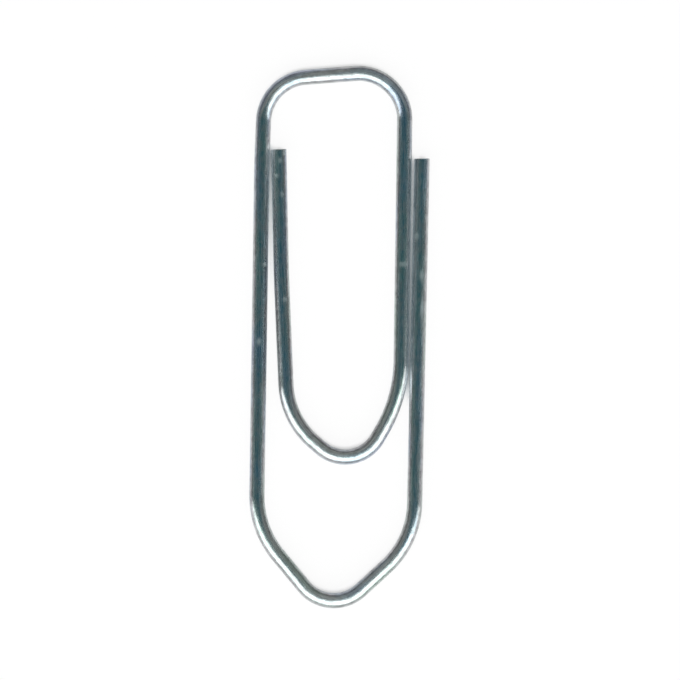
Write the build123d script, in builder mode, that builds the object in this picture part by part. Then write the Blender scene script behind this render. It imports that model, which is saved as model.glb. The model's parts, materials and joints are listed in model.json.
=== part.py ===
from build123d import *
import os
from math import radians, tan

# A pointed paper clip of round drawn wire, lying flat: +X across, +Y up the legs, +Z off the table.
# The clip is one bent wire. Each node is one stretch of it, and neighbours meet face to face.
# Lengths are in millimetres, along the wire's centre and to the sharp corners that the bends round off.

# The wire
WIRE_DIAMETER = 0.91
CUT_EDGE_BREAK = 0.05
LEAST_STRAIGHT = 0.55

# Outer loop, measured from the left shoulder corner
LOOP_LENGTH = 26.45
SHOULDER_WIDTH = 9.28
SHOULDER_DROP = 0.72
POINT_DEPTH = 5.26
POINT_OFFSET = 4.34
OUTER_END_DROP = 5.22
LEFT_BOW_DROP = 4.61
LEFT_LEG_LEAN = 0.85
LEFT_TOP_LEAN = 2.4
RIGHT_LEG_LEAN = 1.24
TOP_RUN_RISE = 4.37

# Tongue, measured up from the left shoulder corner or down from the top left corner
TONGUE_SHOULDER_HEIGHT = 7.73
TONGUE_TIP_HEIGHT = 3.06
TONGUE_TIP_OFFSET = 2.69
TONGUE_TURN_HEIGHT = 6.46
TONGUE_END_DROP = 4.04
TONGUE_END_RUN = 7.28
TONGUE_LEG_LEAN = 0.84
TONGUE_RETURN_LEAN = 2.4
TONGUE_END_LEAN = 1.15

# Clear gaps between legs that lie side by side
TONGUE_END_GAP = 0.06
TONGUE_SHOULDER_GAP = 0.05

# Bend radii
END_BOW_RADIUS = 130.0
TONGUE_TURN_RADIUS = 4.73
TONGUE_TIP_RADIUS = 2.18
TONGUE_SHOULDER_RADIUS = 8.41
TOP_RIGHT_RADIUS = 2.72
TOP_LEFT_RADIUS = 2.68
LEFT_BOW_RADIUS = 80.0
LEFT_SHOULDER_RADIUS = 5.44
POINT_RADIUS = 2.29
RIGHT_SHOULDER_RADIUS = 5.22


def on_leg(foot, height, lean):
    """The point at a height on a leg through foot that leans towards +X going up."""
    return Vector(foot.X + (height - foot.Y) * tan(radians(lean)), height)


def crossing(foot, lean, start, rise):
    """Where the leg through foot meets the run through start that climbs at the angle rise."""
    slope = tan(radians(rise))
    drift = tan(radians(lean))
    height = (start.Y + (foot.X - foot.Y * drift - start.X) * slope) / (1 - drift * slope)
    return on_leg(foot, height, lean)


def fitted_radii(corners, radii):
    """The bend radii, each limited so that every run keeps its least straight stretch."""
    runs = [b - a for a, b in zip(corners, corners[1:])]
    reaches = [0.0]
    for run, following, radius in zip(runs, runs[1:], radii):
        reaches.append(radius * tan(radians(run.get_angle(following) / 2)))
    reaches.append(0.0)
    room = []
    for run, before, after in zip(runs, reaches, reaches[1:]):
        room.append(min(1.0, (run.length - LEAST_STRAIGHT) / (before + after)))
    return [radius * min(pair) for radius, pair in zip(radii, zip(room, room[1:]))]


def draw_wire(*edges):
    """Sweep the wire's round section along edges in a row, into the part that is being built."""
    with BuildLine() as path:
        add(edges)
    start = Plane(origin=path.wire() @ 0, z_dir=path.wire() % 0)
    with BuildSketch(start) as section:
        Circle(WIRE_DIAMETER / 2)
    sweep(section.sketch, path=path.wire())


def break_cut_edge(stretch):
    """Break the sharp edge of a stretch's cut end, which is its highest flat face along Y."""
    cut_face = stretch.faces().filter_by(GeomType.PLANE).sort_by(Axis.Y)[-1]
    chamfer(cut_face.edges(), CUT_EDGE_BREAK)


# Sharp corners of the route, from the tongue's cut end to the outer loop's cut end
left_shoulder_corner = Vector(0, 0)
left_bow_corner = on_leg(left_shoulder_corner, LOOP_LENGTH - LEFT_BOW_DROP, LEFT_LEG_LEAN)
top_left_corner = on_leg(left_bow_corner, LOOP_LENGTH, LEFT_TOP_LEAN)
point_corner = Vector(POINT_OFFSET, -POINT_DEPTH)
right_shoulder_corner = Vector(SHOULDER_WIDTH, -SHOULDER_DROP)

beside_right_leg = on_leg(right_shoulder_corner, TONGUE_SHOULDER_HEIGHT, RIGHT_LEG_LEAN)
tongue_shoulder_corner = beside_right_leg - Vector(WIRE_DIAMETER + TONGUE_SHOULDER_GAP, 0)
top_right_corner = crossing(tongue_shoulder_corner, TONGUE_LEG_LEAN, top_left_corner, TOP_RUN_RISE)
tongue_tip_corner = Vector(tongue_shoulder_corner.X - TONGUE_TIP_OFFSET, TONGUE_TIP_HEIGHT)
outer_end = on_leg(right_shoulder_corner, top_right_corner.Y - OUTER_END_DROP, RIGHT_LEG_LEAN)

beside_left_leg = on_leg(left_bow_corner, LOOP_LENGTH - TONGUE_END_DROP, LEFT_TOP_LEAN)
tongue_end = beside_left_leg + Vector(WIRE_DIAMETER + TONGUE_END_GAP, 0)
end_bow_corner = on_leg(tongue_end, tongue_end.Y - TONGUE_END_RUN, -TONGUE_END_LEAN)
tongue_turn_corner = on_leg(end_bow_corner, TONGUE_TURN_HEIGHT, -TONGUE_RETURN_LEAN)

corners = [
    tongue_end,
    end_bow_corner,
    tongue_turn_corner,
    tongue_tip_corner,
    tongue_shoulder_corner,
    top_right_corner,
    top_left_corner,
    left_bow_corner,
    left_shoulder_corner,
    point_corner,
    right_shoulder_corner,
    outer_end,
]
bend_radii = fitted_radii(
    corners,
    [
        END_BOW_RADIUS,
        TONGUE_TURN_RADIUS,
        TONGUE_TIP_RADIUS,
        TONGUE_SHOULDER_RADIUS,
        TOP_RIGHT_RADIUS,
        TOP_LEFT_RADIUS,
        LEFT_BOW_RADIUS,
        LEFT_SHOULDER_RADIUS,
        POINT_RADIUS,
        RIGHT_SHOULDER_RADIUS,
    ],
)

# The route is drawn once to find its middle, which goes over the origin, with the wire resting on Z = 0
with BuildLine() as sketched_route:
    FilletPolyline(*corners, radius=bend_radii)
middle = sketched_route.line.bounding_box().center()
to_origin = Vector(-middle.X, -middle.Y, WIRE_DIAMETER / 2)
with BuildLine() as route:
    FilletPolyline(*[corner + to_origin for corner in corners], radius=bend_radii)

(
    end_run,
    end_bow,
    return_run,
    tongue_turn_bend,
    inner_flank,
    tongue_tip_bend,
    tongue_flank,
    tongue_shoulder_bend,
    tongue_run,
    top_right_bend,
    top_run,
    top_left_bend,
    left_top_run,
    left_bow,
    left_run,
    left_shoulder_bend,
    left_flank,
    point_bend,
    right_flank,
    right_shoulder_bend,
    right_run,
) = route.edges().sort_by(route.wire())

# Three straight runs are cut at their middles, where the wire twists and one moving stretch meets the next
inner_flank_halves = [inner_flank.trim(0, 0.5), inner_flank.trim(0.5, 1)]
top_run_halves = [top_run.trim(0, 0.5), top_run.trim(0.5, 1)]
right_flank_halves = [right_flank.trim(0, 0.5), right_flank.trim(0.5, 1)]

# Tongue, from its cut end to the middle of the top run
with BuildPart() as tongue_free_leg:
    draw_wire(end_run, end_bow, return_run)
    break_cut_edge(tongue_free_leg)

with BuildPart() as tongue_turn:
    draw_wire(tongue_turn_bend, inner_flank_halves[0])

with BuildPart() as tongue_tip:
    draw_wire(inner_flank_halves[1], tongue_tip_bend, tongue_flank)

with BuildPart() as tongue_shoulder:
    draw_wire(tongue_shoulder_bend)

with BuildPart() as tongue_leg:
    draw_wire(tongue_run)

with BuildPart() as top_bend_right:
    draw_wire(top_right_bend, top_run_halves[0])

# Outer loop, from the middle of the top run to its cut end
with BuildPart() as top_bend_left:
    draw_wire(top_run_halves[1], top_left_bend)

with BuildPart() as outer_left_leg:
    draw_wire(left_top_run, left_bow, left_run)

with BuildPart() as left_shoulder:
    draw_wire(left_shoulder_bend)

with BuildPart() as arrow_point:
    draw_wire(left_flank, point_bend, right_flank_halves[0])

with BuildPart() as right_shoulder:
    draw_wire(right_flank_halves[1], right_shoulder_bend)

with BuildPart() as outer_free_leg:
    draw_wire(right_run)
    break_cut_edge(outer_free_leg)

stretches = {
    "tongue_free_leg": tongue_free_leg,
    "tongue_turn": tongue_turn,
    "tongue_tip": tongue_tip,
    "tongue_shoulder": tongue_shoulder,
    "tongue_leg": tongue_leg,
    "top_bend_right": top_bend_right,
    "top_bend_left": top_bend_left,
    "outer_left_leg": outer_left_leg,
    "left_shoulder": left_shoulder,
    "arrow_point": arrow_point,
    "right_shoulder": right_shoulder,
    "outer_free_leg": outer_free_leg,
}

os.makedirs("parts", exist_ok=True)
for name, stretch in stretches.items():
    stretch.part.label = name
    export_step(stretch.part, f"parts/{name}.step")
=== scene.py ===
import json
import logging
import math
from dataclasses import dataclass, field
from enum import Enum, IntEnum
from typing import Any

import bmesh
import bpy
import numpy as np
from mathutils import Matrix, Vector, kdtree, noise


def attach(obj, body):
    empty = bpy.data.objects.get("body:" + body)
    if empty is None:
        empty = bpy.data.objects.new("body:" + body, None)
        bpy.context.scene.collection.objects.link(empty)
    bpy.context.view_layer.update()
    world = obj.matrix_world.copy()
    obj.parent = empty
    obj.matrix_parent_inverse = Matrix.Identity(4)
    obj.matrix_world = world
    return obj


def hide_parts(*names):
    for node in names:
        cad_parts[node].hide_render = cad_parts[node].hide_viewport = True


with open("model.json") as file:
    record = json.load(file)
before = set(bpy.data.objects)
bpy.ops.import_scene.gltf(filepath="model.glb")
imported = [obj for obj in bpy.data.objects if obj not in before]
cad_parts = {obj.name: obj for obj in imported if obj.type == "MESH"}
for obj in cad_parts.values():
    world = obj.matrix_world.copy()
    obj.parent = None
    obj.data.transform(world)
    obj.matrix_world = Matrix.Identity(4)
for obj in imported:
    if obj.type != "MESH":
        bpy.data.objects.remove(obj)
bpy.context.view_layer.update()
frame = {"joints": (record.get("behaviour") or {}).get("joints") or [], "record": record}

LOG = logging.getLogger("paper_clip")
MM = 0.001
WIRE_DIAMETER = 0.91 * MM
WIRE_RADIUS = WIRE_DIAMETER / 2
BEND_ATTRIBUTE = "bend_radius"
STRAIGHT_ATTRIBUTE = "straightened"
SCUFF_ATTRIBUTE = "scuff"
# Where a stretch lies close beside another, for a painted sheen
SHEEN_ATTRIBUTE = "painted_sheen"
UV_NAME = "wire_uv"

Colour = tuple[float, float, float]
Span = tuple[float, float]
Stops = tuple[tuple[float, Colour], ...]
Socket = bpy.types.NodeSocket

WHITE = (1.0, 1.0, 1.0, 1.0)
WHOLE: Span = (0.0, 1.0)


class Body(Enum):
    """The four stretches of wire that move on one another."""

    TONGUE_END = "tongue_end"
    TONGUE = "tongue"
    OUTER_LOOP = "outer_loop"
    OUTER_END = "outer_end"


class Joint(Enum):
    """The places where the wire twists, in the middles of three straight runs."""

    INNER_FLANK = "tongue_end_lift"
    TOP_RUN = "tongue_lift"
    RIGHT_FLANK = "outer_end_lift"

    def place(self) -> Vector:
        """The joint's place in the frame."""
        return next(Vector(joint["pos_m"]) for joint in frame["joints"] if joint["name"] == self.value)


class Corner(IntEnum):
    """The wire's ends and the sharp corners of its route, in order along the wire."""

    TONGUE_END = 0
    END_BOW = 1
    TONGUE_TURN = 2
    TONGUE_TIP = 3
    TONGUE_SHOULDER = 4
    TOP_RIGHT = 5
    TOP_LEFT = 6
    LEFT_BOW = 7
    LEFT_SHOULDER = 8
    POINT = 9
    RIGHT_SHOULDER = 10
    OUTER_END = 11


class Graph:
    """A node tree that is filled node by node, with inputs set or linked as each node is added."""

    def __init__(self, tree: bpy.types.NodeTree) -> None:
        """Keep the tree that the nodes go into.

        Args:
            tree: A geometry or shader tree.
        """
        self.tree = tree

    def add(self, kind: str, inputs: dict[str | int, Any] | None = None, **settings: Any) -> bpy.types.Node:
        """Add a node.

        Args:
            kind: The node's type name.
            inputs: Values or output sockets for the node's inputs, by name or index.
            **settings: The node's own properties.

        Returns:
            The new node.
        """
        node = self.tree.nodes.new(kind)
        for name, value in settings.items():
            setattr(node, name, value)
        for key, value in (inputs or {}).items():
            if isinstance(value, Socket):
                self.tree.links.new(value, node.inputs[key])
            else:
                node.inputs[key].default_value = value
        return node

    def maths(self, operation: str, first: Any, second: Any = 0.0) -> Socket:
        """Add a Math node and return its value."""
        return self.add("ShaderNodeMath", {0: first, 1: second}, operation=operation).outputs[0]

    def scaled(self, vector: Socket, around: float, along: float) -> Socket:
        """Scale coordinates by one factor in X and Y, and another in Z, along the straightened wire."""
        factors = {0: vector, 1: (around, around, along)}
        return self.add("ShaderNodeVectorMath", factors, operation="MULTIPLY").outputs[0]

    def noise(self, vector: Socket, detail: float = 2.0, harsh: float = 0.5) -> Socket:
        """Add a noise texture and return its value.

        Args:
            vector: Coordinates whose unit is one grain of the noise.
            detail: Octaves of finer grain.
            harsh: Strength of each finer octave.

        Returns:
            The noise, from 0 to 1.
        """
        settings = {"Vector": vector, "Scale": 1.0, "Detail": detail, "Roughness": harsh}
        return self.add("ShaderNodeTexNoise", settings, noise_dimensions="3D").outputs[0]

    def remap(self, value: Any, source: Span, target: Span = WHOLE) -> Socket:
        """Map one range of values smoothly on another, and hold its ends."""
        settings = {0: value, 1: source[0], 2: source[1], 3: target[0], 4: target[1]}
        return self.add("ShaderNodeMapRange", settings, interpolation_type="SMOOTHSTEP").outputs[0]

    def ramp(self, value: Socket, stops: Stops) -> Socket:
        """Add a colour ramp.

        Args:
            value: Where on the ramp to read.
            stops: Positions from 0 to 1 and their colours, in order.

        Returns:
            The colour.
        """
        node = self.add("ShaderNodeValToRGB", {0: value})
        elements = node.color_ramp.elements
        while len(elements) < len(stops):
            elements.new(1.0)
        for element, (position, colour) in zip(elements, stops):
            element.position = position
            element.color = (*colour, 1.0)
        return node.outputs[0]

    def blend(self, mode: str, factor: Any, under: Any, over: Any) -> Socket:
        """Blend two colours.

        Args:
            mode: The blend type.
            factor: Share of the upper colour.
            under: Lower colour.
            over: Upper colour.

        Returns:
            The blended colour.
        """
        inputs = {0: factor, 6: under, 7: over}
        return self.add("ShaderNodeMix", inputs, data_type="RGBA", blend_type=mode).outputs[2]


def empty_material(name: str) -> tuple[bpy.types.Material, Graph]:
    """Make a material with no nodes in it.

    Args:
        name: The material's name.

    Returns:
        The material, and the graph to fill.
    """
    material = bpy.data.materials.new(name)
    material.use_nodes = True
    material.node_tree.nodes.clear()
    return material, Graph(material.node_tree)


@dataclass(frozen=True)
class ZincPlate:
    """Drawn wire with a zinc plate: cool grey, streaked along its length, with faint stains and scuffs.

    Painted shade dulls the wire's flanks, and a painted reflection of the white sheet pales its edges.
    A painted sheen brightens it where stretches lie close beside one another.
    Shades multiply the plate's tint, and values are the parts of a noise's range that they are spread over.
    """

    name: str = "zinc_plate"
    tints: Stops = (
        (0.32, (0.43, 0.51, 0.61)),
        (0.42, (0.46, 0.57, 0.61)),
        (0.50, (0.53, 0.58, 0.58)),
        (0.58, (0.50, 0.59, 0.57)),
        (0.68, (0.46, 0.59, 0.54)),
    )
    tint_width: float = 0.55 * MM
    tint_length: float = 5.0 * MM
    streak_width: float = 0.2 * MM
    streak_length: float = 3.0 * MM
    streak_harsh: float = 0.6
    streak_values: Span = (0.30, 0.70)
    streak_shades: Span = (0.94, 1.04)
    stain_size: float = 0.25 * MM
    stain_squeeze: float = 0.7
    stain_values: Span = (0.35, 0.68)
    stain_shades: Span = (1.12, 0.80)
    # Painted shade: darker part way round from the top towards the wire's sides
    painted_flank_shade: Stops = (
        (0.46, (1.0, 1.0, 1.0)),
        (0.66, (0.63, 0.58, 0.60)),
        (0.82, (0.78, 0.69, 0.72)),
        (0.95, (1.0, 0.93, 0.94)),
    )
    # A painted reflection of the white sheet on the wire's outermost edges
    painted_rim_reflection: Colour = (0.72, 0.73, 0.73)
    painted_rim_band: Span = (0.93, 1.0)
    # A painted sheen on the sides that lie close beside another stretch
    painted_sheen_colour: Colour = (0.78, 0.82, 0.84)
    scuff_colour: Colour = (0.50, 0.58, 0.58)
    scuff_matt: float = 0.08
    scuff_roughening: float = 0.14
    metal_values: Span = (0.42, 0.66)
    metal_shares: Span = (1.0, 0.93)
    roughnesses: Span = (0.18, 0.30)
    anisotropy: float = 0.9
    scratch_width: float = 0.03 * MM
    scratch_length: float = 1.6 * MM
    scratch_depth: float = 0.0005 * MM
    scratch_values: Span = (0.3, 0.7)

    def material(self) -> bpy.types.Material:
        """Build the finish.

        Returns:
            The material, which reads the coordinates, scuffs and painted sheen stored on the wire.
        """
        material, graph = empty_material(self.name)
        place = graph.add("ShaderNodeAttribute", attribute_name=STRAIGHT_ATTRIBUTE).outputs["Vector"]
        scuff = graph.add("ShaderNodeAttribute", attribute_name=SCUFF_ATTRIBUTE).outputs["Fac"]
        stain = graph.noise(graph.scaled(place, 1 / self.stain_size, self.stain_squeeze / self.stain_size))
        scratch = graph.noise(graph.scaled(place, 1 / self.scratch_width, 1 / self.scratch_length))
        metal = graph.remap(stain, self.metal_values, self.metal_shares)
        metal = graph.maths("SUBTRACT", metal, graph.maths("MULTIPLY", scuff, self.scuff_matt))
        rough = graph.remap(scratch, self.scratch_values, self.roughnesses)
        rough = graph.maths("ADD", rough, graph.maths("MULTIPLY", scuff, self.scuff_roughening))
        relief = {"Strength": 1.0, "Distance": self.scratch_depth, "Height": scratch}
        bump = graph.add("ShaderNodeBump", relief)
        tangent = graph.add("ShaderNodeTangent", direction_type="UV_MAP", uv_map=UV_NAME)
        surface = graph.add(
            "ShaderNodeBsdfPrincipled",
            {
                "Base Color": self._colour(graph, place, stain, scuff),
                "Metallic": metal,
                "Roughness": rough,
                "Anisotropic": self.anisotropy,
                "Tangent": tangent.outputs[0],
                "Normal": bump.outputs[0],
            },
        )
        graph.add("ShaderNodeOutputMaterial", {"Surface": surface.outputs[0]})
        return material

    def _colour(self, graph: Graph, place: Socket, stain: Socket, scuff: Socket) -> Socket:
        """Mottle the plate, paint shade on its flanks, and lay painted reflection, painted sheen and scuffs
        over it.

        Args:
            graph: The material's graph.
            place: The wire's straightened coordinates.
            stain: How stained the plate is.
            scuff: How scuffed the plate is.

        Returns:
            The plate's colour.
        """
        tint = graph.noise(graph.scaled(place, 1 / self.tint_width, 1 / self.tint_length), detail=3.0)
        lines = graph.scaled(place, 1 / self.streak_width, 1 / self.streak_length)
        streak = graph.noise(lines, detail=3.0, harsh=self.streak_harsh)
        across = graph.add("ShaderNodeSeparateXYZ", {0: place}).outputs[0]
        flank = graph.maths("DIVIDE", graph.maths("ABSOLUTE", across), WIRE_RADIUS)
        colour = graph.ramp(tint, self.tints)
        for shade in (
            graph.remap(streak, self.streak_values, self.streak_shades),
            graph.remap(stain, self.stain_values, self.stain_shades),
            # painted shade on the flanks
            graph.ramp(flank, self.painted_flank_shade),
        ):
            colour = graph.blend("MULTIPLY", 1.0, colour, shade)
        # Laid over: a painted reflection on the edges, a painted sheen beside another stretch, then real
        # scuffs
        rim = graph.remap(flank, self.painted_rim_band)
        painted_sheen = graph.add("ShaderNodeAttribute", attribute_name=SHEEN_ATTRIBUTE).outputs["Fac"]
        for share, sheen_or_wear in ((rim, self.painted_rim_reflection), (painted_sheen, self.painted_sheen_colour), (scuff, self.scuff_colour)):
            colour = graph.blend("MIX", share, colour, (*sheen_or_wear, 1.0))
        return colour


@dataclass(frozen=True)
class ShearedSteel:
    """The bare steel of a sheared end, dull and scored across."""

    name: str = "sheared_steel"
    colours: Stops = ((0.35, (0.24, 0.24, 0.24)), (0.65, (0.46, 0.46, 0.45)))
    roughnesses: Span = (0.34, 0.54)
    score_size: float = 0.05 * MM
    score_squeeze: float = 0.15
    score_depth: float = 0.006 * MM
    score_strength: float = 0.8
    score_values: Span = (0.3, 0.7)

    def material(self) -> bpy.types.Material:
        """Build the finish.

        Returns:
            The material, which reads Object coordinates.
        """
        material, graph = empty_material(self.name)
        place = graph.add("ShaderNodeTexCoord").outputs["Object"]
        lines = graph.scaled(place, 1 / self.score_size, self.score_squeeze / self.score_size)
        score = graph.noise(lines, detail=3.0)
        relief = {"Strength": self.score_strength, "Distance": self.score_depth, "Height": score}
        surface = graph.add(
            "ShaderNodeBsdfPrincipled",
            {
                "Base Color": graph.ramp(score, self.colours),
                "Metallic": 1.0,
                "Roughness": graph.remap(score, self.score_values, self.roughnesses),
                "Normal": graph.add("ShaderNodeBump", relief).outputs[0],
            },
        )
        graph.add("ShaderNodeOutputMaterial", {"Surface": surface.outputs[0]})
        return material


@dataclass(frozen=True)
class WhitePaper:
    """The white sheet that the clip lies on.

    Most of its white is its own, and the rest is lit. In the narrow gaps between wires it is shaded and
    tinted a little blue, a painted glow of light bounced off the wire, and it shows reflections more of its
    own white there, which paints light on the wires' facing sides. Close beside a wire it is shaded where
    the wire hides the lamp.
    """

    name: str = "white_paper"
    colour: Colour = (0.93, 0.93, 0.93)
    own_share: float = 0.92
    mirrored_share: float = 0.1
    gap_shade: float = 0.3
    # Painted bounce light: the blue that the sheet takes on in the narrow gaps
    painted_bounce_tint: Colour = (0.78, 0.94, 1.0)
    # Painted light: the share of its own white that reflections see in the gaps
    painted_gap_glow_share: float = 0.35
    gap_reach: float = 0.5 * MM
    gap_samples: int = 8
    gap_open: Span = (0.08, 0.5)
    shadow_share: float = 0.45
    shadow_open: Span = (0.33, 0.46)

    def material(self, to_lamp: Vector) -> bpy.types.Material:
        """Build the finish.

        Args:
            to_lamp: Direction from the clip to the lamp.

        Returns:
            The material of the floor and the backdrop.
        """
        material, graph = empty_material(self.name)
        sky = self._open_share(graph)
        openness = graph.remap(sky, self.gap_open)
        # The painted bounce tint, faded out where the sheet is open
        tint = graph.blend("MIX", openness, (*self.painted_bounce_tint, 1.0), WHITE)
        own = graph.add("ShaderNodeEmission", {"Color": tint, "Strength": 1.0})
        colour = graph.blend("MULTIPLY", 1.0, (*self.colour, 1.0), tint)
        colour = graph.blend("MULTIPLY", 1.0, colour, graph.remap(sky, self.gap_open, (self.gap_shade, 1.0)))
        lit = graph.add("ShaderNodeBsdfDiffuse", {"Color": colour})

        lean = graph.add("ShaderNodeCombineXYZ", dict(enumerate(to_lamp))).outputs[0]
        lamp_side = self._open_share(graph, {"Normal": lean})
        shadow = graph.remap(lamp_side, self.shadow_open, (self.shadow_share, 1.0))
        path = graph.add("ShaderNodeLightPath").outputs
        share = graph.maths("MULTIPLY", graph.maths("MULTIPLY", openness, self.own_share), shadow)
        share = graph.maths("MULTIPLY", share, path["Is Camera Ray"])
        mirrored = graph.maths("MAXIMUM", path["Is Glossy Ray"], path["Is Transmission Ray"])
        # Reflections see more of the sheet's own white in the gaps: painted light on the wires' facing sides
        glow = graph.remap(sky, self.gap_open, (self.painted_gap_glow_share, self.mirrored_share))
        share = graph.maths("MAXIMUM", share, graph.maths("MULTIPLY", glow, mirrored))
        mixed = graph.add("ShaderNodeMixShader", {0: share, 1: lit.outputs[0], 2: own.outputs[0]})
        graph.add("ShaderNodeOutputMaterial", {"Surface": mixed.outputs[0]})
        return material

    def _open_share(self, graph: Graph, facing: dict[str, Socket] | None = None) -> Socket:
        """Measure how much of what the sheet faces is free of wire close by.

        Args:
            graph: The material's graph.
            facing: The node's Normal input, if it isn't the sheet's own.

        Returns:
            The free share, from 0 to 1.
        """
        inputs = {"Distance": self.gap_reach, **(facing or {})}
        return graph.add("ShaderNodeAmbientOcclusion", inputs, samples=self.gap_samples).outputs["AO"]


@dataclass(frozen=True)
class Bend:
    """A sharp corner of the wire's route, and the radius that rounds it."""

    corner: Vector
    radius: float


@dataclass(frozen=True)
class WireRoute:
    """The line of the wire's centre, from the tongue's cut end to the outer loop's cut end.

    Lengths run to the sharp corners that the bends round off, and leans are in degrees.
    """

    wire_diameter: float = WIRE_DIAMETER
    loop_length: float = 26.45 * MM
    shoulder_width: float = 9.28 * MM
    shoulder_drop: float = 0.72 * MM
    point_depth: float = 5.26 * MM
    point_offset: float = 4.34 * MM
    outer_end_drop: float = 5.22 * MM
    left_bow_drop: float = 4.61 * MM
    left_leg_lean: float = 0.85
    left_top_lean: float = 2.4
    right_leg_lean: float = 1.24
    top_run_rise: float = 4.37
    tongue_shoulder_height: float = 7.73 * MM
    tongue_tip_height: float = 3.06 * MM
    tongue_tip_offset: float = 2.69 * MM
    tongue_turn_height: float = 6.46 * MM
    tongue_end_drop: float = 4.04 * MM
    tongue_end_run: float = 7.28 * MM
    tongue_leg_lean: float = 0.84
    tongue_return_lean: float = 2.4
    tongue_end_lean: float = 1.15
    tongue_end_gap: float = 0.06 * MM
    tongue_shoulder_gap: float = 0.05 * MM
    end_bow_radius: float = 130.0 * MM
    tongue_turn_radius: float = 4.73 * MM
    tongue_tip_radius: float = 2.18 * MM
    tongue_shoulder_radius: float = 8.41 * MM
    top_right_radius: float = 2.72 * MM
    top_left_radius: float = 2.68 * MM
    left_bow_radius: float = 80.0 * MM
    left_shoulder_radius: float = 5.44 * MM
    point_radius: float = 2.29 * MM
    right_shoulder_radius: float = 5.22 * MM

    @staticmethod
    def on_leg(foot: Vector, height: float, lean: float) -> Vector:
        """The point at a height on a leg through foot that leans towards +X going up."""
        return Vector((foot.x + (height - foot.y) * math.tan(math.radians(lean)), height, 0.0))

    def crossing(self, foot: Vector, lean: float, start: Vector, rise: float) -> Vector:
        """Find where a leg meets a run.

        Args:
            foot: A point of the leg.
            lean: The leg's lean towards +X.
            start: A point of the run.
            rise: The angle at which the run climbs.

        Returns:
            The crossing.
        """
        slope, drift = math.tan(math.radians(rise)), math.tan(math.radians(lean))
        height = (start.y + (foot.x - foot.y * drift - start.x) * slope) / (1 - drift * slope)
        return self.on_leg(foot, height, lean)

    def bends(self) -> list[Bend]:
        """Work out the corners, measured from the left shoulder's.

        Returns:
            The two cut ends and the bends between them, in order along the wire.
        """
        left = Vector((0.0, 0.0, 0.0))
        left_bow = self.on_leg(left, self.loop_length - self.left_bow_drop, self.left_leg_lean)
        top_left = self.on_leg(left_bow, self.loop_length, self.left_top_lean)
        point = Vector((self.point_offset, -self.point_depth, 0.0))
        right = Vector((self.shoulder_width, -self.shoulder_drop, 0.0))
        side_gap = Vector((self.wire_diameter + self.tongue_shoulder_gap, 0.0, 0.0))
        shoulder = self.on_leg(right, self.tongue_shoulder_height, self.right_leg_lean) - side_gap
        top_right = self.crossing(shoulder, self.tongue_leg_lean, top_left, self.top_run_rise)
        tip = Vector((shoulder.x - self.tongue_tip_offset, self.tongue_tip_height, 0.0))
        outer_end = self.on_leg(right, top_right.y - self.outer_end_drop, self.right_leg_lean)
        beside_left = self.on_leg(left_bow, self.loop_length - self.tongue_end_drop, self.left_top_lean)
        tongue_end = beside_left + Vector((self.wire_diameter + self.tongue_end_gap, 0.0, 0.0))
        bow = self.on_leg(tongue_end, tongue_end.y - self.tongue_end_run, -self.tongue_end_lean)
        turn = self.on_leg(bow, self.tongue_turn_height, -self.tongue_return_lean)
        return [
            Bend(tongue_end, 0.0),
            Bend(bow, self.end_bow_radius),
            Bend(turn, self.tongue_turn_radius),
            Bend(tip, self.tongue_tip_radius),
            Bend(shoulder, self.tongue_shoulder_radius),
            Bend(top_right, self.top_right_radius),
            Bend(top_left, self.top_left_radius),
            Bend(left_bow, self.left_bow_radius),
            Bend(left, self.left_shoulder_radius),
            Bend(point, self.point_radius),
            Bend(right, self.right_shoulder_radius),
            Bend(outer_end, 0.0),
        ]

    @staticmethod
    def reach(before: Bend, bend: Bend, after: Bend) -> float:
        """How far a bend's arc reaches along its runs from the sharp corner."""
        turn = (bend.corner - before.corner).angle(after.corner - bend.corner)
        return bend.radius * math.tan(turn / 2)

    def placed_bends(self) -> list[Bend]:
        """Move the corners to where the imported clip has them, by the twist in the top run.

        Returns:
            The bends in the frame, at the height of the wire's centre.
        """
        bends = self.bends()
        right, left = bends[Corner.TOP_RIGHT], bends[Corner.TOP_LEFT]
        run = left.corner - right.corner
        right_reach = self.reach(bends[Corner.TONGUE_SHOULDER], right, left)
        left_reach = self.reach(right, left, bends[Corner.LEFT_BOW])
        middle = right.corner + run.normalized() * (right_reach + run.length - left_reach) / 2
        shift = Joint.TOP_RUN.place() - middle
        return [Bend(bend.corner + shift, bend.radius) for bend in bends]

    def stretches(self) -> dict[Body, list[Bend]]:
        """Divide the route at the three places where the wire twists.

        Returns:
            The corners of each body's stretch, from end to end.
        """
        bends = self.placed_bends()
        inner, top, right = (Bend(joint.place(), 0.0) for joint in Joint)
        return {
            Body.TONGUE_END: [*bends[: Corner.TONGUE_TIP], inner],
            Body.TONGUE: [inner, *bends[Corner.TONGUE_TIP : Corner.TOP_LEFT], top],
            Body.OUTER_LOOP: [top, *bends[Corner.TOP_LEFT : Corner.RIGHT_SHOULDER], right],
            Body.OUTER_END: [right, *bends[Corner.RIGHT_SHOULDER :]],
        }


@dataclass(frozen=True)
class CutEnd:
    """A sheared end of the wire: a rounded rim, a slightly slanted face and a torn lower part.

    The slant is in degrees. The tear starts at a height over the wire's centre, in wire radii, and deepens
    downwards. Its depth is part even and part rough.
    """

    rim_radius: float = 0.05 * MM
    rim_steps: int = 4
    face_rings: int = 9
    slant: float = 2.0
    slant_reach: float = 0.7 * MM
    tear_depth: float = 0.025 * MM
    tear_from: float = -0.15
    tear_rate: float = 2.5
    tear_even: float = 0.6
    tear_rough: float = 0.4
    tear_grain: float = 0.12 * MM


@dataclass(frozen=True)
class Nick:
    """A shallow scuff in the plate.

    It is placed along the wire from the tongue's cut end, and around it in degrees from the top.
    """

    along: float
    around: float
    length: float
    width: float
    depth: float = 0.004 * MM


# The cuts at the start and the end of a stretch
CUTS: dict[Body, tuple[CutEnd | None, CutEnd | None]] = {
    Body.TONGUE_END: (CutEnd(), None),
    Body.OUTER_END: (None, CutEnd()),
}

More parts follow.
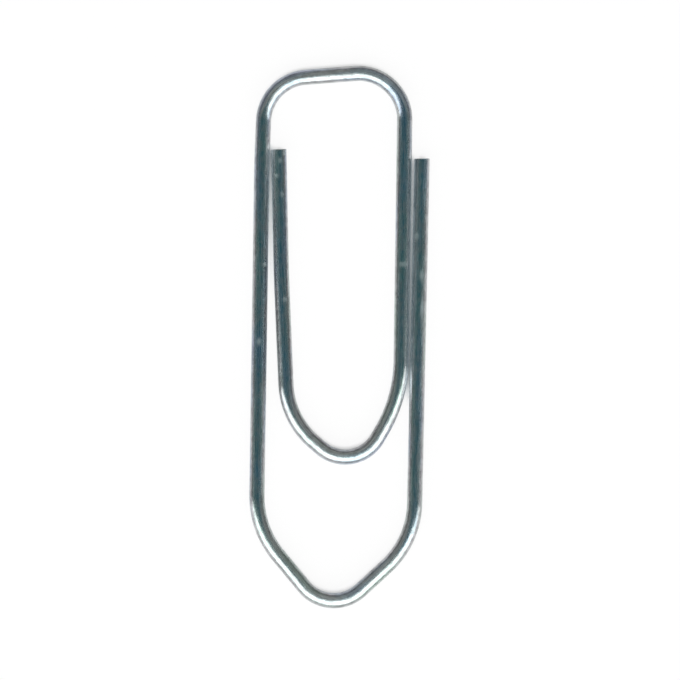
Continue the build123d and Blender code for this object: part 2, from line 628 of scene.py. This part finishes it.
NICKS: dict[Body, list[Nick]] = {
    Body.TONGUE_END: [
        # This scuff also paints the pale glint on the cut end's corner: a scuff and a painted highlight
        Nick(along=0.25 * MM, around=-42.0, length=0.25 * MM, width=0.12 * MM),
        Nick(along=0.7 * MM, around=-8.0, length=0.2 * MM, width=0.16 * MM),
        Nick(along=1.6 * MM, around=24.0, length=0.16 * MM, width=0.2 * MM),
        Nick(along=2.7 * MM, around=-18.0, length=0.22 * MM, width=0.14 * MM),
        Nick(along=8.9 * MM, around=-20.0, length=0.18 * MM, width=0.2 * MM),
    ],
    Body.TONGUE: [Nick(along=32.7 * MM, around=4.0, length=0.2 * MM, width=0.34 * MM)],
    Body.OUTER_LOOP: [
        Nick(along=61.05 * MM, around=-38.0, length=0.14 * MM, width=0.2 * MM),
        Nick(along=65.6 * MM, around=2.0, length=0.28 * MM, width=0.2 * MM),
    ],
    Body.OUTER_END: [
        Nick(along=102.3 * MM, around=22.0, length=0.7 * MM, width=0.14 * MM),
        Nick(along=104.3 * MM, around=15.0, length=0.4 * MM, width=0.16 * MM),
        Nick(along=106.6 * MM, around=-31.0, length=0.28 * MM, width=0.2 * MM),
    ],
}

# Stretches that lie side by side and rub on each other when the clip opens.
# Their facing sides get a painted sheen
SIDE_BY_SIDE_PAIRS = ((Body.TONGUE, Body.OUTER_END), (Body.TONGUE_END, Body.OUTER_LOOP))


class DrawnWireTree:
    """The Geometry Nodes tree that bends round wire along a route and draws fine die lines into it."""

    def __init__(self) -> None:
        """Build the tree with named inputs for the wire's sizes."""
        self.tree = bpy.data.node_groups.new("drawn_wire", "GeometryNodeTree")
        self._add_interface()
        self._add_nodes()

    def _add_interface(self) -> None:
        interface = self.tree.interface
        interface.new_socket("Geometry", in_out="OUTPUT", socket_type="NodeSocketGeometry")
        for name, kind in {
            "Geometry": "Geometry",
            "Wire Radius": "Float",
            "Wire Sides": "Int",
            "Bend Steps": "Int",
            "Ring Spacing": "Float",
            "Start Length": "Float",
            "Die Line Width": "Float",
            "Die Line Length": "Float",
            "Die Line Depth": "Float",
            "Finish": "Material",
        }.items():
            interface.new_socket(name, in_out="INPUT", socket_type=f"NodeSocket{kind}")

    def _add_nodes(self) -> None:
        """Fill the tree: corners to a bent line, the line to a tube, and die lines into its surface."""
        graph = Graph(self.tree)
        given = graph.add("NodeGroupInput").outputs
        line = graph.add("GeometryNodeMeshToCurve", {0: given["Geometry"]})
        radius = graph.add("GeometryNodeInputNamedAttribute", {"Name": BEND_ATTRIBUTE}, data_type="FLOAT")
        bent = graph.add(
            "GeometryNodeFilletCurve",
            {"Curve": line.outputs[0], "Count": given["Bend Steps"], "Radius": radius.outputs[0]},
            mode="POLY",
        )
        rings = graph.add(
            "GeometryNodeResampleCurve",
            {"Curve": bent.outputs[0], "Length": given["Ring Spacing"]},
            mode="LENGTH",
        )
        upright = graph.add("GeometryNodeSetCurveNormal", {"Curve": rings.outputs[0]}, mode="Z_UP")
        path = graph.add("GeometryNodeCaptureAttribute", domain="POINT")
        path.capture_items.new("FLOAT", "Length")
        self.tree.links.new(upright.outputs[0], path.inputs["Geometry"])
        self.tree.links.new(graph.add("GeometryNodeSplineParameter").outputs["Length"], path.inputs["Length"])
        circle = graph.add(
            "GeometryNodeCurvePrimitiveCircle",
            {"Resolution": given["Wire Sides"], "Radius": given["Wire Radius"]},
        )
        section = graph.add("GeometryNodeCaptureAttribute", domain="POINT")
        section.capture_items.new("VECTOR", "Section")
        self.tree.links.new(circle.outputs[0], section.inputs["Geometry"])
        self.tree.links.new(graph.add("GeometryNodeInputPosition").outputs[0], section.inputs["Section"])
        tube = graph.add(
            "GeometryNodeCurveToMesh",
            {
                "Curve": path.outputs["Geometry"],
                "Profile Curve": section.outputs["Geometry"],
                "Fill Caps": True,
            },
        )
        across = graph.add("ShaderNodeSeparateXYZ", {0: section.outputs["Section"]})
        along = graph.maths("ADD", path.outputs["Length"], given["Start Length"])
        straight = graph.add("ShaderNodeCombineXYZ", {0: across.outputs[0], 1: across.outputs[1], 2: along})
        stored = graph.add(
            "GeometryNodeStoreNamedAttribute",
            {"Geometry": tube.outputs[0], "Name": STRAIGHT_ATTRIBUTE, "Value": straight.outputs[0]},
            data_type="FLOAT_VECTOR",
            domain="POINT",
        )
        drawn = self._die_lines(graph, given, stored.outputs[0], straight.outputs[0])
        smooth = graph.add("GeometryNodeSetShadeSmooth", {"Geometry": drawn})
        whole = graph.add("GeometryNodeRealizeInstances", {0: smooth.outputs[0]})
        finish = {"Geometry": whole.outputs[0], "Material": given["Finish"]}
        dressed = graph.add("GeometryNodeSetMaterial", finish)
        graph.add("NodeGroupOutput", {0: dressed.outputs[0]})

    @staticmethod
    def _die_lines(
        graph: Graph,
        given: bpy.types.NodeOutputs,
        tube: Socket,
        straight: Socket,
    ) -> Socket:
        """Sink fine lengthwise lines into the tube, so that it never grows past the wire's diameter.

        Args:
            graph: The tree's graph.
            given: The tree's inputs.
            tube: The round wire.
            straight: The wire's straightened coordinates.

        Returns:
            The wire with its die lines.
        """
        width = graph.maths("DIVIDE", 1.0, given["Die Line Width"])
        length = graph.maths("DIVIDE", 1.0, given["Die Line Length"])
        grain = graph.add("ShaderNodeCombineXYZ", {0: width, 1: width, 2: length})
        place = graph.add("ShaderNodeVectorMath", {0: straight, 1: grain.outputs[0]}, operation="MULTIPLY")
        sunk = graph.maths("MULTIPLY", graph.noise(place.outputs[0], detail=1.0), given["Die Line Depth"])
        inward = graph.maths("MULTIPLY", sunk, -1.0)
        normal = graph.add("GeometryNodeInputNormal")
        offset = graph.add("ShaderNodeVectorMath", {0: normal.outputs[0], "Scale": inward}, operation="SCALE")
        moved = graph.add("GeometryNodeSetPosition", {"Geometry": tube, "Offset": offset.outputs[0]})
        return moved.outputs[0]

    def set_inputs(self, modifier: bpy.types.NodesModifier, values: dict[str, Any]) -> None:
        """Set a modifier's inputs by their sockets' identifiers.

        Args:
            modifier: The modifier that runs this tree.
            values: Values by the inputs' names.
        """
        for item in self.tree.interface.items_tree:
            if item.in_out == "INPUT" and item.name in values:
                modifier[item.identifier] = values[item.name]


def read_array(items: Any, name: str, width: int = 1, kind: type = np.float32) -> np.ndarray:
    """Read one property of all elements of a mesh.

    Args:
        items: The mesh's vertices, loops, polygons or the data of an attribute.
        name: The property's name.
        width: Numbers that the property holds for each element.
        kind: The numbers' type.

    Returns:
        A row for each element, or a single number where the width is 1.
    """
    values = np.empty(len(items) * width, dtype=kind)
    items.foreach_get(name, values)
    return values.reshape(-1, width) if width > 1 else values


@dataclass(frozen=True)
class Shear:
    """The making of one sheared end, on a stretch of wire that ends in a flat cap."""

    cut: CutEnd
    end: Vector
    outward: Vector
    wire_radius: float
    wire_sides: int
    bare_index: int = 1

    def apply(self, mesh: bpy.types.Mesh) -> None:
        """Shape the end.

        Args:
            mesh: The stretch's mesh.
        """
        shape = bmesh.new()
        shape.from_mesh(mesh)
        rings = self._add_rings(shape, self._open_cap(shape))
        centre = self._fill(shape, rings)
        self._slant(shape)
        self._tear([*rings[self.cut.rim_steps + 1 :], [centre]])
        bmesh.ops.recalc_face_normals(shape, faces=shape.faces)
        shape.to_mesh(mesh)
        shape.free()

    def _open_cap(self, shape: bmesh.types.BMesh) -> list[bmesh.types.BMVert]:
        """Take the flat cap off and draw its edge back by the rim's radius.

        Args:
            shape: The stretch.

        Returns:
            The vertices of the cap's edge, in order.
        """
        cap = min(
            (face for face in shape.faces if len(face.verts) == self.wire_sides),
            key=lambda face: (face.calc_center_median() - self.end).length,
        )
        edge = list(cap.verts)
        shape.faces.remove(cap)
        for vert in edge:
            vert.co -= self.outward * self.cut.rim_radius
        return edge

    def _add_rings(
        self, shape: bmesh.types.BMesh, edge: list[bmesh.types.BMVert]
    ) -> list[list[bmesh.types.BMVert]]:
        """Add the rings of the rounded rim, and then those of the face.

        Args:
            shape: The stretch.
            edge: The wire's edge below the rim.

        Returns:
            The edge and the new rings, from the outside in.
        """
        cut = self.cut
        sizes = []
        for step in range(1, cut.rim_steps + 1):
            angle = math.radians(90) * step / cut.rim_steps
            inset = cut.rim_radius * (1 - math.cos(angle))
            sizes.append((self.wire_radius - inset, cut.rim_radius * math.sin(angle)))
        face_radius = self.wire_radius - cut.rim_radius
        for step in range(1, cut.face_rings):
            sizes.append((face_radius * (1 - step / cut.face_rings), cut.rim_radius))
        straight = shape.verts.layers.float_vector[STRAIGHT_ATTRIBUTE]
        middle = self.end - self.outward * cut.rim_radius
        rings = [edge]
        for radius, height in sizes:
            ring = []
            for foot in edge:
                spoke = (foot.co - middle).normalized()
                vert = shape.verts.new(middle + spoke * radius + self.outward * height)
                vert[straight] = foot[straight]
                ring.append(vert)
            rings.append(ring)
        return rings

    def _fill(self, shape: bmesh.types.BMesh, rings: list[list[bmesh.types.BMVert]]) -> bmesh.types.BMVert:
        """Join the rings with faces, plated on the rim and bare inside it.

        Args:
            shape: The stretch.
            rings: The rings, from the outside in.

        Returns:
            The vertex in the middle of the face.
        """
        straight = shape.verts.layers.float_vector[STRAIGHT_ATTRIBUTE]
        centre = shape.verts.new(self.end)
        centre[straight] = rings[0][0][straight]
        for number, (outer, inner) in enumerate(zip(rings, rings[1:])):
            for index in range(self.wire_sides):
                after = (index + 1) % self.wire_sides
                face = shape.faces.new((outer[index], outer[after], inner[after], inner[index]))
                face.smooth = True
                face.material_index = self.bare_index if number >= self.cut.rim_steps else 0
        last = rings[-1]
        for index in range(self.wire_sides):
            face = shape.faces.new((last[index], last[(index + 1) % self.wire_sides], centre))
            face.smooth = True
            face.material_index = self.bare_index
        return centre

    def _slant(self, shape: bmesh.types.BMesh) -> None:
        """Draw one side of the end back, less and less further down the wire.

        Args:
            shape: The stretch.
        """
        side = Vector((self.outward.y, -self.outward.x, 0.0))
        tilt = math.tan(math.radians(self.cut.slant))
        reach = self.cut.slant_reach
        for vert in shape.verts:
            depth = (self.end - vert.co).dot(self.outward)
            if depth < reach and (vert.co - self.end).length < 2 * reach:
                across = (vert.co - self.end).dot(side)
                back = tilt * (self.wire_radius - across) * (1 - max(depth, 0.0) / reach)
                vert.co -= self.outward * back

    def _tear(self, rings: list[list[bmesh.types.BMVert]]) -> None:
        """Sink the torn lower part of the face.

        Args:
            rings: The face's rings, inside the rim.
        """
        cut = self.cut
        for ring in rings:
            for vert in ring:
                drop = (cut.tear_from - (vert.co - self.end).z / self.wire_radius) * cut.tear_rate
                torn = min(max(drop, 0.0), 1.0)
                rough = cut.tear_even + cut.tear_rough * noise.noise(vert.co / cut.tear_grain)
                vert.co -= self.outward * cut.tear_depth * torn * rough


@dataclass
class WireStretch:
    """One stretch of the clip's wire, from a cut end or a twist to the next."""

    name: str
    body: Body
    bends: list[Bend]
    replaced: tuple[str, ...]
    start_cut: CutEnd | None = None
    end_cut: CutEnd | None = None
    nicks: list[Nick] = field(default_factory=list)
    wire_radius: float = WIRE_RADIUS
    wire_sides: int = 72
    bend_steps: int = 96
    ring_spacing: float = 0.08 * MM
    die_line_width: float = 0.3 * MM
    die_line_length: float = 2.5 * MM
    die_line_depth: float = 0.0025 * MM
    nick_sharpness: float = 2.0
    # Distances to another stretch over which the painted sheen fades from full to none
    sheen_reach: Span = (0.2 * MM, 0.52 * MM)
    mesh: bpy.types.Mesh | None = field(default=None, init=False)

    def build(
        self, tree: DrawnWireTree, start: float, plate: bpy.types.Material, bare: bpy.types.Material
    ) -> float:
        """Build the stretch and set it on its body.

        Args:
            tree: The Geometry Nodes tree that bends the wire.
            start: Length of wire before this stretch.
            plate: Finish of the wire.
            bare: Finish of a cut face.

        Returns:
            Length of wire up to this stretch's far end.
        """
        mesh = self._bend_wire(tree, start, plate)
        mesh.materials.clear()
        mesh.materials.append(plate)
        mesh.materials.append(bare)
        end = float(self._straightened(mesh)[:, 2].max())
        self._shear(mesh, self.start_cut, self.bends[0].corner, self.bends[1].corner)
        self._shear(mesh, self.end_cut, self.bends[-1].corner, self.bends[-2].corner)
        self._scuff(mesh)
        self._unwrap(mesh)
        self.mesh = mesh
        piece = bpy.data.objects.new(self.name, mesh)
        bpy.context.scene.collection.objects.link(piece)
        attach(piece, self.body.value)
        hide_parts(*self.replaced)
        return end

    def _bend_wire(self, tree: DrawnWireTree, start: float, plate: bpy.types.Material) -> bpy.types.Mesh:
        """Run the tree on the stretch's corners.

        Args:
            tree: The Geometry Nodes tree that bends the wire.
            start: Length of wire before this stretch.
            plate: Finish of the wire.

        Returns:
            A plain mesh of the bent wire.
        """
        corners = bpy.data.meshes.new(f"{self.name}_corners")
        edges = [(index, index + 1) for index in range(len(self.bends) - 1)]
        corners.from_pydata([bend.corner for bend in self.bends], edges, [])
        radii = corners.attributes.new(BEND_ATTRIBUTE, "FLOAT", "POINT")
        radii.data.foreach_set("value", [bend.radius for bend in self.bends])
        guide = bpy.data.objects.new(f"{self.name}_guide", corners)
        bpy.context.scene.collection.objects.link(guide)
        modifier = guide.modifiers.new("drawn_wire", "NODES")
        modifier.node_group = tree.tree
        tree.set_inputs(
            modifier,
            {
                "Wire Radius": self.wire_radius,
                "Wire Sides": self.wire_sides,
                "Bend Steps": self.bend_steps,
                "Ring Spacing": self.ring_spacing,
                "Start Length": start,
                "Die Line Width": self.die_line_width,
                "Die Line Length": self.die_line_length,
                "Die Line Depth": self.die_line_depth,
                "Finish": plate,
            },
        )
        graph = bpy.context.evaluated_depsgraph_get()
        mesh = bpy.data.meshes.new_from_object(guide.evaluated_get(graph))
        mesh.name = self.name
        bpy.data.objects.remove(guide)
        return mesh

    @staticmethod
    def _straightened(mesh: bpy.types.Mesh) -> np.ndarray:
        """The straightened coordinates of a mesh's vertices, as an array of rows."""
        return read_array(mesh.attributes[STRAIGHT_ATTRIBUTE].data, "vector", 3)

    def _shear(self, mesh: bpy.types.Mesh, cut: CutEnd | None, end: Vector, inside: Vector) -> None:
        """Give a free end its sheared face.

        Args:
            mesh: The stretch's mesh.
            cut: The form of the cut, or None where the wire runs on.
            end: The middle of the end face.
            inside: A point further along the wire.
        """
        if cut:
            outward = (end - inside).normalized()
            Shear(cut, end, outward, self.wire_radius, self.wire_sides).apply(mesh)

    def _scuff(self, mesh: bpy.types.Mesh) -> None:
        """Sink the stretch's nicks into the wire, and store where the plate is scuffed.

        Args:
            mesh: The stretch's mesh.
        """
        straight = self._straightened(mesh)
        places = read_array(mesh.vertices, "co", 3)
        normals = read_array(mesh.vertex_normals, "vector", 3)
        angle = np.degrees(np.arctan2(straight[:, 0], -straight[:, 1]))
        scuff = np.zeros(len(places), dtype=np.float32)
        sunk = np.zeros(len(places), dtype=np.float32)
        for nick in self.nicks:
            turn = (angle - nick.around + 180.0) % 360.0 - 180.0
            across = np.radians(turn) * self.wire_radius / nick.width
            along = (straight[:, 2] - nick.along) / nick.length
            share = np.exp(-self.nick_sharpness * (across**2 + along**2)).astype(np.float32)
            scuff = np.maximum(scuff, share)
            sunk = np.maximum(sunk, share * nick.depth)
        places -= normals * sunk[:, None]
        mesh.vertices.foreach_set("co", places.ravel())
        mesh.attributes.new(SCUFF_ATTRIBUTE, "FLOAT", "POINT").data.foreach_set("value", scuff)
        mesh.update()

    def _unwrap(self, mesh: bpy.types.Mesh) -> None:
        """Lay the surface out flat: around the wire in U and along it in V, both in turns' lengths.

        Args:
            mesh: The stretch's mesh.
        """
        straight = self._straightened(mesh)
        loops = read_array(mesh.loops, "vertex_index", kind=np.int32)
        starts = read_array(mesh.polygons, "loop_start", kind=np.int32)
        totals = read_array(mesh.polygons, "loop_total", kind=np.int32)
        around = (np.arctan2(straight[loops, 0], straight[loops, 1]) / (2 * math.pi)) % 1.0
        widths = np.maximum.reduceat(around, starts) - np.minimum.reduceat(around, starts)
        # A face across the seam comes out wider than half a turn. The flat caps have more corners and stay
        wraps = np.repeat((widths > 0.5) & (totals <= 4), totals)
        around = np.where(wraps & (around < 0.5), around + 1.0, around)
        flat = np.stack([around, straight[loops, 2] / (2 * math.pi * self.wire_radius)], axis=1)
        layer = mesh.uv_layers.new(name=UV_NAME)
        layer.uv.foreach_set("vector", flat.astype(np.float32).ravel())

    def paint_sheen_beside(self, other: "WireStretch") -> None:
        """Store where this stretch lies close beside another, for a painted sheen there.

        Args:
            other: A stretch that moves past this one.
        """
        tree = kdtree.KDTree(len(other.mesh.vertices))
        for vert in other.mesh.vertices:
            tree.insert(vert.co, vert.index)
        tree.balance()
        gaps = np.array([tree.find(vert.co)[2] for vert in self.mesh.vertices])
        near, far = self.sheen_reach
        painted_sheen = np.clip((far - gaps) / (far - near), 0.0, 1.0).astype(np.float32)
        self.mesh.attributes.new(SHEEN_ATTRIBUTE, "FLOAT", "POINT").data.foreach_set("value", painted_sheen)


@dataclass(frozen=True)
class StripLamp:
    """A long soft strip lamp on the side that the clip points to, square to the clip's legs.

    The lean is in degrees from straight up, and the lengths are in metres.
    """

    lean: float = 42.5
    distance: float = 0.6
    width: float = 0.70
    length: float = 14.0
    radiance: float = 2.5

    def direction(self) -> Vector:
        """The direction from the clip to the lamp."""
        lean = math.radians(self.lean)
        return Vector((0.0, -math.sin(lean), math.cos(lean)))

    def build(self) -> None:
        """Hang the lamp, aimed at the clip."""
        data = bpy.data.lights.new("strip_lamp", "AREA")
        data.shape = "RECTANGLE"
        data.size = self.length
        data.size_y = self.width
        data.energy = math.pi * self.length * self.width * self.radiance
        lamp = bpy.data.objects.new("strip_lamp", data)
        lamp.location = self.direction() * self.distance
        lamp.rotation_euler = (math.radians(self.lean), 0.0, 0.0)
        lamp.visible_camera = False
        bpy.context.scene.collection.objects.link(lamp)


@dataclass(frozen=True)
class DimRoom:
    """The dim grey room round the clip, with a dark blue-green slot overhead that runs across the clip.

    The room's colours go by height, and the slot's by how far out across the clip. The slot's edges are in
    degrees from straight up.
    """

    heights: Stops = (
        (0.0, (0.21, 0.21, 0.208)),
        (0.3, (0.235, 0.232, 0.229)),
        (0.8, (0.287, 0.281, 0.277)),
    )
    slot: Stops = (
        (0.30, (0.012, 0.080, 0.104)),
        (0.64, (0.048, 0.105, 0.12)),
        (0.98, (0.10, 0.148, 0.158)),
    )
    slot_edges: Span = (6.0, 11.0)

    def build(self) -> None:
        """Make the world."""
        world = bpy.data.worlds.new("dim_room")
        world.use_nodes = True
        world.node_tree.nodes.clear()
        graph = Graph(world.node_tree)
        direction = graph.add("ShaderNodeTexCoord").outputs["Generated"]
        across, along, height = graph.add("ShaderNodeSeparateXYZ", {0: direction}).outputs
        turn = graph.maths("ARCTAN2", graph.maths("ABSOLUTE", along), height)
        inner, outer = (math.radians(edge) for edge in self.slot_edges)
        slot = graph.ramp(graph.maths("ABSOLUTE", across), self.slot)
        room = graph.ramp(height, self.heights)
        colour = graph.blend("MIX", graph.remap(turn, (inner, outer)), slot, room)
        light = graph.add("ShaderNodeBackground", {"Color": colour, "Strength": 1.0})
        graph.add("ShaderNodeOutputWorld", {"Surface": light.outputs[0]})
        bpy.context.scene.world = world


@dataclass(frozen=True)
class PaperSweep:
    """A round sheet of white paper under the clip that curves up at its rim."""

    flat_radius: float = 8.0
    rise: float = 0.2
    sides: int = 96
    rise_steps: int = 12

    def build(self, paper: bpy.types.Material) -> None:
        """Lay the sheet.

        Args:
            paper: The sheet's finish.
        """
        profile = [(self.flat_radius, 0.0)]
        for step in range(1, self.rise_steps + 1):
            angle = math.radians(90) * step / self.rise_steps
            radius = self.flat_radius + self.rise * math.sin(angle)
            profile.append((radius, self.rise * (1 - math.cos(angle))))
        shape = bmesh.new()
        rings = []
        for radius, height in profile:
            ring = []
            for side in range(self.sides):
                turn = 2 * math.pi * side / self.sides
                ring.append(shape.verts.new((radius * math.cos(turn), radius * math.sin(turn), height)))
            rings.append(ring)
        shape.faces.new(rings[0])
        for inner, outer in zip(rings, rings[1:]):
            for side in range(self.sides):
                after = (side + 1) % self.sides
                shape.faces.new((inner[side], outer[side], outer[after], inner[after]))
        mesh = bpy.data.meshes.new("paper_sweep")
        shape.to_mesh(mesh)
        shape.free()
        mesh.materials.append(paper)
        sheet = bpy.data.objects.new("paper_sweep", mesh)
        bpy.context.scene.collection.objects.link(sheet)


@dataclass(frozen=True)
class OverheadCamera:
    """The camera, straight over the clip, with the clip's length up the picture.

    Its lens is long, because the photograph has no perspective.
    """

    picture_pixels: float = 680.0
    pixels_per_metre: float = 16961.0
    middle: tuple[float, float] = (0.028 * MM, -0.173 * MM)
    lens: float = 1000.0
    focus_height: float = WIRE_RADIUS
    clip_range: Span = (0.01, 20.0)

    def build(self) -> None:
        """Set up the camera and make it the scene's."""
        data = bpy.data.cameras.new("overhead_camera")
        data.lens = self.lens
        field_width = self.picture_pixels / self.pixels_per_metre
        height = field_width * self.lens / data.sensor_width + self.focus_height
        data.clip_start, data.clip_end = self.clip_range
        camera = bpy.data.objects.new("overhead_camera", data)
        camera.location = (*self.middle, height)
        bpy.context.scene.collection.objects.link(camera)
        bpy.context.scene.camera = camera


def main() -> None:
    """Build the clip's four stretches of wire, then the studio round them."""
    logging.basicConfig(level=logging.INFO, format="%(name)s: %(message)s")
    nodes = frame["record"]["behaviour"]["bodies"]
    route = WireRoute().stretches()
    plate = ZincPlate().material()
    bare = ShearedSteel().material()
    tree = DrawnWireTree()
    stretches: dict[Body, WireStretch] = {}
    along = 0.0
    for body in Body:
        start_cut, end_cut = CUTS.get(body, (None, None))
        stretch = WireStretch(
            name=f"{body.value}_wire",
            body=body,
            bends=route[body],
            replaced=tuple(nodes[body.value]),
            start_cut=start_cut,
            end_cut=end_cut,
            nicks=NICKS[body],
        )
        stretches[body] = stretch
        along = stretch.build(tree, along, plate, bare)
        LOG.info("%s rides on %s and ends %.2f mm along the wire", stretch.name, body.value, along / MM)
    for first, second in SIDE_BY_SIDE_PAIRS:
        stretches[first].paint_sheen_beside(stretches[second])
        stretches[second].paint_sheen_beside(stretches[first])
    lamp = StripLamp()
    lamp.build()
    PaperSweep().build(WhitePaper().material(lamp.direction()))
    DimRoom().build()
    OverheadCamera().build()
    bpy.context.scene.view_settings.view_transform = "Standard"


if __name__ == "__main__":
    main()
